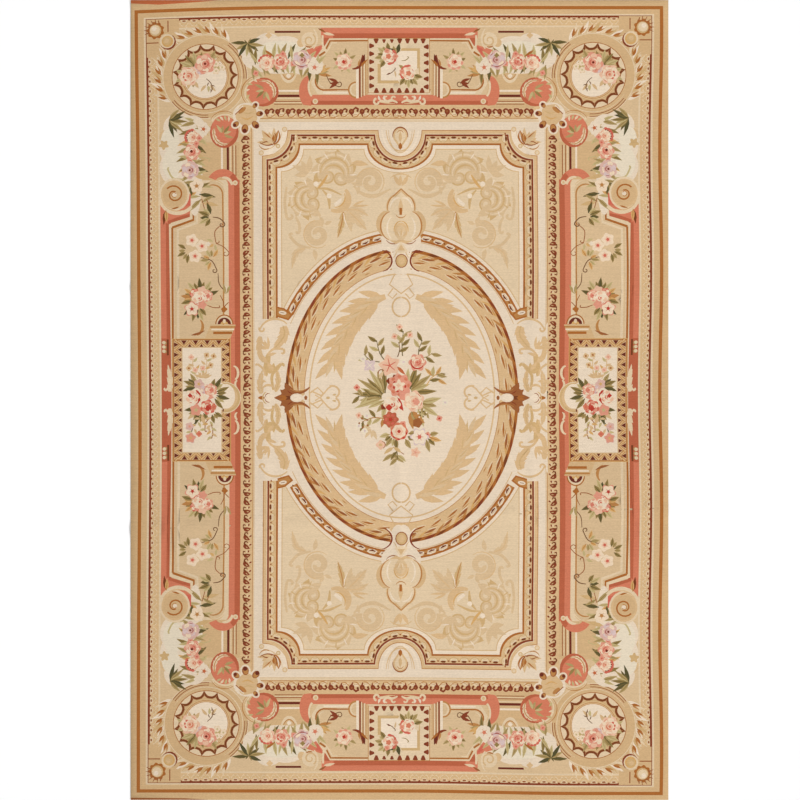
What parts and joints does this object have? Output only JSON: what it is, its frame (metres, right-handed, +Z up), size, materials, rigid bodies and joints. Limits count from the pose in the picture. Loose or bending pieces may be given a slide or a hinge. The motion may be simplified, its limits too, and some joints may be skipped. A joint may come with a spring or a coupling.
{
  "type": "needlepoint rug",
  "caption": "Flat rectangular needlepoint rug with a border of banded panels and a central oval medallion, lying with faint fold ridges.",
  "frame": {"origin": "centre of the rug on the floor, under its lowest face", "axes": "+X across the rug, +Y along its length towards the head of the design, +Z up from the floor"},
  "size_m": [1.8278, 2.72, 0.0082],
  "materials": {
    "needlepoint_wool": "matte stitched wool"
  },
  "bodies": {
    "root": {"rug": "needlepoint_wool"}
  },
  "joints": []
}
